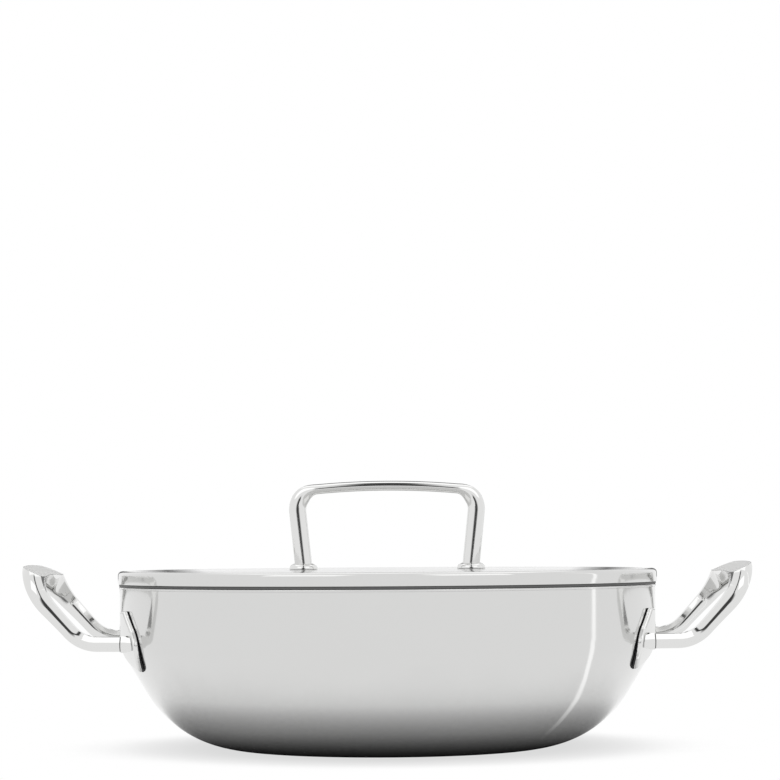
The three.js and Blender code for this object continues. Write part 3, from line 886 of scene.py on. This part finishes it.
def rising_curve(run):
    """The place and the slope of the curve at a length along it."""
    if run <= ARM_RUN:
        return ROOT_X + run, ARM_HEIGHT, 0
    angle = min((run - ARM_RUN) / ARM_BEND_RADIUS, ARM_BEND)
    x = ROOT_X + ARM_RUN + ARM_BEND_RADIUS * sin(angle)
    z = ARM_HEIGHT + ARM_BEND_RADIUS * (1 - cos(angle))
    if run <= RISE_START:
        return x, z, angle
    straight = min(run, GRIP_START) - RISE_START
    x += straight * cos(ARM_BEND)
    z += straight * sin(ARM_BEND)
    if run <= GRIP_START:
        return x, z, ARM_BEND
    angle = ARM_BEND + (run - GRIP_START) / GRIP_BEND_RADIUS
    return (
        x + GRIP_BEND_RADIUS * (sin(angle) - sin(ARM_BEND)),
        z + GRIP_BEND_RADIUS * (cos(ARM_BEND) - cos(angle)), angle)


def arm_y(run):
    """The arms draw together near the pan and rise almost side by side."""
    return ARM_SPREAD - ARM_DRAW_IN * smooth_step(run, 0, ARM_DRAW_RUN) - run * tan(RISE_LEAN)


def loop_path():
    corner_turn = pi / 2 - RISE_LEAN
    corner_y = arm_y(GRIP_RUN) - GRIP_CORNER_RADIUS * tan(corner_turn / 2)
    corner_run = GRIP_RUN - GRIP_CORNER_RADIUS
    arm_end = corner_run + GRIP_CORNER_RADIUS * sin(RISE_LEAN)
    half = []
    for step in range(ARM_STEPS + 1):
        run = blend(SHOULDER_RUN, arm_end, step / ARM_STEPS)
        half.append((run, arm_y(run)))
    for step in range(1, GRIP_CORNER_STEPS + 1):
        turn = RISE_LEAN + corner_turn * step / GRIP_CORNER_STEPS
        half.append((
            corner_run + GRIP_CORNER_RADIUS * sin(turn),
            corner_y + GRIP_CORNER_RADIUS * cos(turn)))
    for step in range(1, GRIP_STEPS + 1):
        share = step / GRIP_STEPS
        half.append((GRIP_RUN + GRIP_BOW * (1 - (1 - share) ** 2), corner_y * (1 - share)))
    return half + [(run, -y) for run, y in half[-2::-1]]


def loop_point(point):
    x, z, _ = rising_curve(point[0])
    return Vector((x, point[1], z))


def loop_frame(centre, tangent, angle, width, thickness):
    rise = Vector((-sin(angle), 0, cos(angle)))
    across = rise.cross(tangent).normalized()
    normal = tangent.cross(across).normalized()
    return bar_frame(centre, across, normal, width, thickness)


LOOP = loop_path()
ROOT_TANGENT = Vector((cos(ROOT_LEAN), -sin(ROOT_LEAN), 0))
END_TANGENT = Vector((-cos(ROOT_LEAN), -sin(ROOT_LEAN), 0))
ARM_ROOT = loop_point(LOOP[0])
ARM_END = loop_point(LOOP[-1])


def tenon_frame(shoulder, tangent, along):
    width, thickness = (size - 2 * TENON_SHOULDER for size in (ARM_WIDTH, ARM_THICKNESS))
    return loop_frame(shoulder + tangent * along, tangent, 0, width, thickness)


def loop_frames():
    """The frames along the loop, each with the slant of its side towards the fingers."""
    rows = []
    for step, point in enumerate(LOOP):
        before = loop_point(LOOP[max(0, step - 1)])
        after = loop_point(LOOP[min(len(LOOP) - 1, step + 1)])
        tangent = (after - before).normalized()
        if step == 0:
            tangent = ROOT_TANGENT
        if step == len(LOOP) - 1:
            tangent = END_TANGENT
        run, y = point
        widening = smooth_step(run, GRIP_RUN - GRIP_CORNER_RADIUS, GRIP_RUN)
        swelling = 1 - smooth_step(abs(y), 0, GRIP_HALF)
        width = blend(ARM_WIDTH, GRIP_WIDTH, widening)
        thickness = blend(ARM_THICKNESS, GRIP_THICKNESS, smooth_step(run, RISE_START, GRIP_RUN))
        thickness += GRIP_SWELL * swelling
        rows.append((
            loop_frame(loop_point(point), tangent, rising_curve(run)[2], width, thickness),
            GRIP_SLANT * widening * thickness / width))
    return [
        (tenon_frame(ARM_ROOT, ROOT_TANGENT, -TENON_LENGTH), 0),
        (tenon_frame(ARM_ROOT, ROOT_TANGENT, 0), 0),
        *rows,
        (tenon_frame(ARM_END, END_TANGENT, 0), 0),
        (tenon_frame(ARM_END, END_TANGENT, TENON_LENGTH), 0),
    ]


def slant_ring(placed, verts, slant):
    unplaced = placed.inverted()
    for vert in verts:
        spot = unplaced @ vert.co
        spot.x += slant * spot.z * max(0, -2 * spot.x)
        vert.co = placed @ spot


def cut_grip_top(bm):
    grip_x, grip_z, _ = rising_curve(GRIP_RUN)
    cut = bmesh.ops.bisect_plane(
        bm, geom=bm.verts[:] + bm.edges[:] + bm.faces[:], dist=SAME_PLACE,
        plane_co=(grip_x * MM, 0, (grip_z + GRIP_TOP_ABOVE) * MM),
        plane_no=(-sin(GRIP_TOP_SLOPE), 0, cos(GRIP_TOP_SLOPE)), clear_outer=True)
    bmesh.ops.contextual_create(bm, geom=only(BMEdge, cut["geom_cut"]))


def line_facet(bm, painted_dark):
    """Marks the flat top of the grip as ground, with a painted dark reflection line round it."""
    ground = bm.verts.layers.float.new("ground")
    facet = max(bm.faces, key=lambda face: len(face.verts))
    border = bmesh.ops.inset_region(
        bm, faces=[facet], thickness=FACET_LINE * MM, use_even_offset=True)["faces"]
    inside = set(facet.verts)
    reached = set(inside)
    row = {v for face in border for v in face.verts} - inside
    for vert in inside | row:
        vert[ground] = 1
    # Painted reflection: rows of darkening round the flat top
    for dark in FACET_PAINTED_REFLECTION:
        for vert in row:
            vert[painted_dark] = dark
        reached |= row
        row = {edge.other_vert(vert) for vert in row for edge in vert.link_edges} - reached


def side_handle(name, turn):
    bm, painted_dark = start_piece()
    frames = loop_frames()
    rings = pull_bar(bm, draw_ridged, [placed for placed, _ in frames])
    for (placed, slant), verts in zip(frames, rings):
        slant_ring(placed, verts, slant)
    # Painted shade: the tenons and the arm's shoulders at both ends go dark, where the arm goes
    # into the pads
    for vert in rings[0] + rings[1] + rings[-2] + rings[-1]:
        vert[painted_dark] = 1
    cut_grip_top(bm)
    settle(bm)
    soften(bm, HANDLE_EDGE_ANGLE, HANDLE_EDGE_ROUND, HANDLE_ROUNDING_STEPS)
    line_facet(bm, painted_dark)
    rotate(bm, "Z", turn)
    piece(name, bm, "pan", POLISHED, even_shading=True)


# Handle pads: a leaf-shaped plate bent to the wall, with a boss that takes the arm's end
PAD_ANGLE = asin(ARM_SPREAD / WALL_RADIUS)
PAD_OUTWARD = Vector((cos(PAD_ANGLE), sin(PAD_ANGLE), 0))
PAD_ALONG = Vector((-sin(PAD_ANGLE), cos(PAD_ANGLE), 0))


def round_corner(start, pull, end):
    points = []
    for step in range(1, PAD_CURVE_STEPS + 1):
        share = step / PAD_CURVE_STEPS
        first = start.lerp(pull, share)
        points.append(first.lerp(pull.lerp(end, share), share))
    return points


def pad_outline():
    return [
        PAD_FAR_TOP, PAD_NEAR_TOP, PAD_SIDE,
        *round_corner(PAD_SIDE, PAD_SIDE_PULL, PAD_BELLY),
        *round_corner(PAD_BELLY, PAD_BELLY_PULL, PAD_TIP),
        *round_corner(PAD_TIP, PAD_TIP_PULL, PAD_INNER),
    ]


def wall_radius_at(z, offset):
    """The radius of the pan's outside, offset along its normal, from the cone up to the rim."""
    radius = SHOULDER_RADIUS + offset
    drop = max(0, SHOULDER_Z - z)
    cone_drop = radius * cos(SLOPE)
    if drop <= cone_drop:
        return SHOULDER_R + sqrt(radius ** 2 - drop ** 2)
    return SHOULDER_R + radius * sin(SLOPE) - (drop - cone_drop) / tan(SLOPE)


def on_wall(along, rise, offset):
    z = ARM_HEIGHT + rise
    radius = wall_radius_at(z, offset)
    place = PAD_OUTWARD * sqrt(radius ** 2 - along ** 2) + PAD_ALONG * along
    return Vector((place.x, place.y, z)) * MM


def raise_faces(bm, faces, height, keep=False):
    pulled = bmesh.ops.extrude_face_region(bm, geom=faces, use_keep_orig=keep)["geom"]
    bmesh.ops.translate(bm, vec=(0, 0, height), verts=only(BMVert, pulled))
    return only(BMFace, pulled)


def split_plate(bm, others, place, normal):
    faces = [f for f in bm.faces if f.verts[0] not in others]
    edges = {e for f in faces for e in f.edges}
    verts = {v for f in faces for v in f.verts}
    bmesh.ops.bisect_plane(
        bm, geom=[*verts, *edges, *faces], dist=SAME_PLACE_PLATE,
        plane_co=place, plane_no=normal)


def pad_plate(bm, painted_dark):
    """Drawn flat with a rounded edge, in millimetres, then wrapped onto the wall; a band of
    painted shade runs along the edge next to the wall.
    """
    others = set(bm.verts)
    blank = bm.faces.new([bm.verts.new((*point, 0)) for point in reversed(pad_outline())])
    top = raise_faces(bm, [blank], PAD_PAINTED_SHADE_LOW, keep=True)
    # Painted shade: the band of the edge next to the wall is darkened, as the shade in the gap
    # under the plate
    for vert in bm.verts:
        if vert not in others:
            vert[painted_dark] = 1
    edge = top[0].verts[:]
    top = raise_faces(bm, top, PAD_PAINTED_SHADE_FADE)
    fade = top[0].verts[:]
    top = raise_faces(bm, top, PAD_THICKNESS - PAD_ROUND - PAD_PAINTED_SHADE_LOW - PAD_PAINTED_SHADE_FADE)
    for vert in fade + top[0].verts[:]:
        vert[painted_dark] = 0
    for step in range(PAD_ROUND_STEPS):
        turn, further = (pi / 2 * share / PAD_ROUND_STEPS for share in (step, step + 1))
        bmesh.ops.inset_region(
            bm, faces=top, thickness=PAD_ROUND * (cos(turn) - cos(further)),
            depth=PAD_ROUND * (sin(further) - sin(turn)), use_even_offset=True,
            use_boundary=True)
    # The painted shade band grows taller towards the tip
    for verts, above in ((edge, 0), (fade, PAD_PAINTED_SHADE_FADE)):
        for vert in verts:
            share = smooth_step(-vert.co.y, -PAD_PAINTED_SHADE_LOW_AT, -PAD_PAINTED_SHADE_HIGH_AT)
            vert.co.z = above + blend(PAD_PAINTED_SHADE_LOW, PAD_PAINTED_SHADE_HIGH, share)
    for line in PAD_SPLITS_ALONG:
        split_plate(bm, others, (line, 0, 0), (1, 0, 0))
    for line in PAD_SPLITS_UP:
        split_plate(bm, others, (0, line, 0), (0, 1, 0))
    for vert in bm.verts:
        if vert not in others:
            vert.co = on_wall(vert.co.x, vert.co.y, PAD_CLEARANCE + vert.co.z)


def pad_boss(bm, painted_dark):
    """Rings from inside the plate out to the arm's end, kept off the wall by their offsets."""
    face = ARM_ROOT - ROOT_TANGENT * PAD_CLEARANCE
    back = 2 * BOSS_REACH
    back_margin = -2 * BOSS_TAPER
    face_margin = 2 * BOSS_MARGIN
    plate_top = PAD_CLEARANCE + PAD_THICKNESS
    # The last column is painted shade: the boss darkens where its foot meets the plate, and fully
    # at its lip, where the arm goes in
    rows = [
        (back, back_margin, plate_top - PAD_THICKNESS / 2, BOSS_FOOT_PAINTED_SHADE),
        (back, back_margin, plate_top + BOSS_FOOT_RISE, BOSS_FOOT_PAINTED_SHADE),
        (back, back_margin, plate_top + BOSS_FOOT_END, 0),
        (BOSS_REACH * BOSS_NECK_SHARE, face_margin, 0, 0),
        (BOSS_LIP, face_margin, 0, 0),
        (0, face_margin - 2 * BOSS_LIP, 0, 1),
    ]
    frames = [
        loop_frame(
            face - ROOT_TANGENT * behind, ROOT_TANGENT, 0,
            ARM_WIDTH + margin, ARM_THICKNESS + margin)
        for behind, margin, _, _ in rows]
    rings = pull_bar(bm, draw_ridged, frames)
    for (_, _, offset, dark), verts in zip(rows, rings):
        for vert in verts:
            vert[painted_dark] = dark
            wall = wall_radius_at(vert.co.z / MM, offset) * MM
            vert.co.x = max(vert.co.x, sqrt(wall ** 2 - vert.co.y ** 2))


def handle_pad(name, turn, flip):
    bm, painted_dark = start_piece()
    pad_boss(bm, painted_dark)
    pad_plate(bm, painted_dark)
    if flip:
        bmesh.ops.scale(bm, vec=(1, -1, 1), verts=bm.verts[:])
    rotate(bm, "Z", turn)
    settle(bm)
    piece(name, bm, "pan", POLISHED, even_shading=True)


for side_name, side_turn, first_pad, second_pad in (
        ("right", 0, "rear", "front"), ("left", pi, "front", "rear")):
    side_handle(f"{side_name}_handle", side_turn)
    handle_pad(f"{side_name}_{first_pad}_pad", side_turn, False)
    handle_pad(f"{side_name}_{second_pad}_pad", side_turn, True)

# Studio: a white tent and floor, soft boxes, a side strip with its ribbon, and cards, in metres
FLOOR_SIZE = 16
FLOOR_DROP = 0.0004
FLOOR_GREY = (0.8, 0.8, 0.8, 1)
SHADOW_REACH = 0.3
SHADOW_END = 0.62
SHADOW_POWER = 1.9
SHADOW_LIFT = 0.7
WHITE = (1, 1, 1, 1)
CARD_RADIUS = 6
CARD_SHARE = 0.35
CARD_CORE = 0.42
CARD_STEPS = 46
CARD_DARK = 0.06
CARD_GREY = 0.9
CARD_FADE = 12
CARD_FADE_BELOW = 100
CARD_NARROW_START = 8
CARD_NARROW_END = 28
VEIL_SHARE = 0.98
FRONT_CARD = (0, 92)
FRONT_CARD_NARROW = 0.24
BACK_CARD = (118, 158)
BACK_CARD_VEIL = 0.7
BACK_GREY_CARD = (160, 179.5)
BACK_GREY_CARD_NARROW = 0.5
EDGE_CARD_START = 0.66
EDGE_CARD_WIDTH = 0.75
EDGE_CARD_HEIGHT = 1.3
EDGE_CARD_LEVEL = 0.18
EDGE_CARD_SHARE = 0.9
LID_CARD_START = 0.46
LID_CARD_WIDTH = 0.18
STREAK_PATH = (
    (0.08, -0.061), (0.0837, -0.0639), (0.0886, -0.0653), (0.094, -0.0658), (0.1057, -0.0661),
    (0.1192, -0.0656), (0.1266, -0.0648), (0.1363, -0.0631), (0.1449, -0.0627), (0.1566, -0.0652),
    (0.1636, -0.0674), (0.1907, -0.0716), (0.2376, -0.0721), (0.3409, -0.0672), (0.5032, -0.0537),
    (1.426, 0.0464), (1.8, 0.0925))
STREAK_HEIGHT = 0.0006
STREAK_WIDTH = 0.0042
STREAK_SPREAD = 0.042
STREAK_LEVEL = 0.35
STREAK_FADE_START = 0.079
STREAK_FADE_END = 0.12
SOFT_BOX_PLACE = (1.164, -1.49, 1.478)
SOFT_BOX_TARGET = (0, 0, 0.08)
SOFT_BOX_SIZE = (1.3, 1.3)
SOFT_BOX_LEVEL = 0.4
OVERHEAD_PLACE = (0, 0.7, 2.0)
OVERHEAD_TARGET = (0, 0.7, 0)
OVERHEAD_SIZE = (2.6, 1.7)
OVERHEAD_LEVEL = 0.35
SIDE_STRIP_PLACE = (1.595, 0.08, 0.6)
SIDE_STRIP_TARGET = (0.1, -0.1, 0.06)
SIDE_STRIP_SIZE = (0.07, 1.3)
SIDE_STRIP_POWER = 0.111
CAMERA_PLACE = (0, -1.46006, 0.10717)
CAMERA_SENSOR = 36
CAMERA_LENS = 126.174
CAMERA_PITCH = radians(3.2071)
CAMERA_YAW = radians(0.07905)
CAMERA_ROLL = radians(-0.3682)


class StageMaterial(Nodes):
    """A material for the studio, built up from nothing."""

    def __init__(self, name):
        super().__init__(name)
        self.tree.nodes.clear()

    def glow(self, level):
        node = self.add("ShaderNodeEmission", Color=WHITE)
        self.feed(level, node.inputs["Strength"])
        return node.outputs["Emission"]

    def sheer_glow(self, level):
        """Adds light to what is seen through it."""
        both = self.add("ShaderNodeAddShader")
        self.join(self.glow(level), both.inputs[0])
        self.join(self.add("ShaderNodeBsdfTransparent").outputs["BSDF"], both.inputs[1])
        return both.outputs["Shader"]

    def surface(self, shader):
        self.join(shader, self.add("ShaderNodeOutputMaterial").inputs["Surface"])


def stage_piece(name, bm, material):
    mesh = bpy.data.meshes.new(name)
    bm.to_mesh(mesh)
    bm.free()
    mesh.materials.append(material)
    obj = bpy.data.objects.new(name, mesh)
    bpy.context.collection.objects.link(obj)
    return obj


def keep_to_reflections(obj):
    obj.visible_camera = False
    obj.visible_diffuse = False
    obj.visible_shadow = False


def floor_material():
    """White to the camera and in the metal, and darker where the pan shades it."""
    stage = StageMaterial("pale_floor")
    corner = stage.add("ShaderNodeAmbientOcclusion", Distance=SHADOW_REACH)
    open_share = stage.math("DIVIDE", corner.outputs["AO"], SHADOW_END, clamp=True)
    shade = stage.math("POWER", open_share, SHADOW_POWER)
    path = stage.add("ShaderNodeLightPath")
    seen = stage.math("ADD", path.outputs["Is Camera Ray"], path.outputs["Is Glossy Ray"])
    seen = stage.math("ADD", seen, path.outputs["Is Transmission Ray"], clamp=True)
    lift = stage.math("MULTIPLY", path.outputs["Is Camera Ray"], SHADOW_LIFT)
    lifted = stage.math("MULTIPLY", stage.math("SUBTRACT", 1, shade), lift)
    matt = stage.add("ShaderNodeBsdfDiffuse", Color=FLOOR_GREY)
    mix = stage.add("ShaderNodeMixShader")
    stage.join(seen, mix.inputs["Fac"])
    stage.join(matt.outputs["BSDF"], mix.inputs[1])
    stage.join(stage.glow(stage.math("ADD", shade, lifted)), mix.inputs[2])
    stage.surface(mix.outputs["Shader"])
    return stage.material


def pale_floor():
    bm = bmesh.new()
    bmesh.ops.create_grid(bm, x_segments=1, y_segments=1, size=FLOOR_SIZE / 2)
    shift(bm, (0, 0, -FLOOR_DROP))
    stage_piece("floor", bm, floor_material())


def card_material(name, level, veil):
    """Dark in the middle and white where it is feathered, or a veil for a share of the rest."""
    stage = StageMaterial(name)
    solid = stage.math("SUBTRACT", 1, stage.attribute("feather"))
    rest = stage.math("MULTIPLY", solid, 1 - level)
    if veil:
        stage.surface(stage.sheer_glow(stage.math("MULTIPLY", rest, veil)))
    else:
        stage.surface(stage.glow(stage.math("SUBTRACT", 1, rest)))
    return stage.material


def stand_card(name, bm, level, veil):
    card = stage_piece(name, bm, card_material(name, level, veil))
    keep_to_reflections(card)
    if veil:
        card.light_linking.receiver_collection = SATIN_PIECES


def curved_card(name, span, radius, level, narrow, veil):
    """A strip bent round the X axis, with angles from the front horizon, over the top, back."""
    low, high = span
    half = radius * CARD_SHARE
    bm = bmesh.new()
    feather = bm.verts.layers.float.new("feather")
    row = [bm.verts.new((half * share, -radius, 0)) for share in (-1, -CARD_CORE, CARD_CORE, 1)]
    edges = [bm.edges.new(pair) for pair in zip(row, row[1:])]
    rotate(bm, "X", -radians(low))
    bmesh.ops.spin(
        bm, geom=row + edges, cent=(0, 0, 0), axis=(1, 0, 0), dvec=(0, 0, 0),
        angle=-radians(high - low), steps=CARD_STEPS, use_merge=False)
    for vert in bm.verts:
        angle = atan2(vert.co.z, -vert.co.y) * 180 / pi
        if abs(vert.co.x) > half * (1 + CARD_CORE) / 2:
            vert[feather] = 1
        elif high < CARD_FADE_BELOW:
            vert[feather] = smooth_step(angle, high - CARD_FADE, high)
        vert.co.x *= blend(1, narrow, smooth_step(angle, CARD_NARROW_START, CARD_NARROW_END))
    stand_card(name, bm, level, veil)


def dark_card(name, span, level, narrow=1, veil=1):
    """A dark card for the polished pieces, and a veil before it that keeps the satin bright."""
    curved_card(name, span, CARD_RADIUS, level, narrow, 0)
    curved_card(name + "_veil", span, CARD_RADIUS * VEIL_SHARE, level, narrow, veil)


def edge_card(name, side, start, width, rim):
    """A flat card behind the pan, off to one side, that draws a dark line along an outline."""
    bm = bmesh.new()
    feather = bm.verts.layers.float.new("feather")
    bmesh.ops.create_grid(bm, x_segments=2, y_segments=1, size=0.5)
    for vert in bm.verts:
        vert[feather] = rim if abs(vert.co.x) > 0.25 else 0
    rotate(bm, "X", pi / 2)
    bmesh.ops.scale(bm, vec=(width, 1, EDGE_CARD_HEIGHT), verts=bm.verts[:])
    shift(bm, (side * (start + width / 2), CARD_RADIUS * EDGE_CARD_SHARE, EDGE_CARD_HEIGHT / 2))
    stand_card(name, bm, EDGE_CARD_LEVEL, 0)


def white_tent():
    world = bpy.data.worlds.new("white_tent")
    bpy.context.scene.world = world
    world.use_nodes = True
    tent = world.node_tree.nodes["Background"]
    tent.inputs["Color"].default_value = WHITE
    tent.inputs["Strength"].default_value = 1


def soft_light(name, place, target, size, power):
    light = bpy.data.lights.new(name, "AREA")
    light.shape = "RECTANGLE"
    light.size, light.size_y = size
    light.energy = power
    obj = bpy.data.objects.new(name, light)
    obj.location = place
    obj.rotation_euler = (Vector(target) - Vector(place)).to_track_quat("-Z", "Y").to_euler()
    bpy.context.collection.objects.link(obj)


def soft_box(name, place, target, size, level):
    """A soft light whose face is as bright as a white of this level."""
    soft_light(name, place, target, size, level * pi * size[0] * size[1])


def streak_ribbon():
    """A sheer glowing ribbon on the floor that carries the side strip's streak down the bowl."""
    stage = StageMaterial("streak_ribbon")
    stage.surface(stage.sheer_glow(stage.attribute("level")))
    bm = bmesh.new()
    strength = bm.verts.layers.float.new("level")
    places = [Vector((*place, STREAK_HEIGHT)) for place in STREAK_PATH]
    row = [bm.verts.new(places[0]), bm.verts.new(places[0])]
    edge = bm.edges.new(row)
    for step, place in enumerate(places):
        if step:
            pulled = bmesh.ops.extrude_edge_only(bm, edges=[edge])["geom"]
            edge = only(BMEdge, pulled)[0]
            row = sorted(only(BMVert, pulled), key=lambda vert: vert.co.y)
        run = places[min(step + 1, len(places) - 1)] - places[max(step - 1, 0)]
        half = max(STREAK_WIDTH, STREAK_SPREAD * place.x) / 2
        across = Vector((-run.y, run.x, 0)).normalized() * half
        for vert, side in zip(row, (-1, 1)):
            vert.co = place + across * side
            vert[strength] = STREAK_LEVEL * smooth_step(
                place.x, STREAK_FADE_START, STREAK_FADE_END)
    keep_to_reflections(stage_piece("streak_ribbon", bm, stage.material))


def camera():
    data = bpy.data.cameras.new("camera")
    data.sensor_width = CAMERA_SENSOR
    data.lens = CAMERA_LENS
    obj = bpy.data.objects.new("camera", data)
    forward = Vector((
        cos(CAMERA_PITCH) * sin(CAMERA_YAW), cos(CAMERA_PITCH) * cos(CAMERA_YAW),
        sin(CAMERA_PITCH)))
    level = Vector((cos(CAMERA_YAW), -sin(CAMERA_YAW), 0))
    upright = level.cross(forward)
    right = level * cos(CAMERA_ROLL) + upright * sin(CAMERA_ROLL)
    up = upright * cos(CAMERA_ROLL) - level * sin(CAMERA_ROLL)
    matrix = Matrix((right, up, -forward)).transposed().to_4x4()
    matrix.translation = CAMERA_PLACE
    obj.matrix_world = matrix
    bpy.context.collection.objects.link(obj)
    bpy.context.scene.camera = obj


pale_floor()
white_tent()
dark_card("front_card", FRONT_CARD, CARD_DARK, FRONT_CARD_NARROW)
dark_card("back_card", BACK_CARD, CARD_DARK, veil=BACK_CARD_VEIL)
dark_card("back_grey_card", BACK_GREY_CARD, CARD_GREY, BACK_GREY_CARD_NARROW)
for side_name, side in (("left", -1), ("right", 1)):
    edge_card(f"{side_name}_edge_card", side, EDGE_CARD_START, EDGE_CARD_WIDTH, 0)
    edge_card(f"{side_name}_lid_card", side, LID_CARD_START, LID_CARD_WIDTH, 1)
for side_name, side in (("left", -1), ("right", 1)):
    box_x, box_y, box_z = SOFT_BOX_PLACE
    soft_box(
        f"{side_name}_soft_box", (side * box_x, box_y, box_z), SOFT_BOX_TARGET,
        SOFT_BOX_SIZE, SOFT_BOX_LEVEL)
soft_box("overhead_soft_box", OVERHEAD_PLACE, OVERHEAD_TARGET, OVERHEAD_SIZE, OVERHEAD_LEVEL)
soft_light(
    "side_strip", SIDE_STRIP_PLACE, SIDE_STRIP_TARGET, SIDE_STRIP_SIZE, SIDE_STRIP_POWER)
streak_ribbon()
camera()
bpy.context.scene.view_settings.view_transform = "Standard"
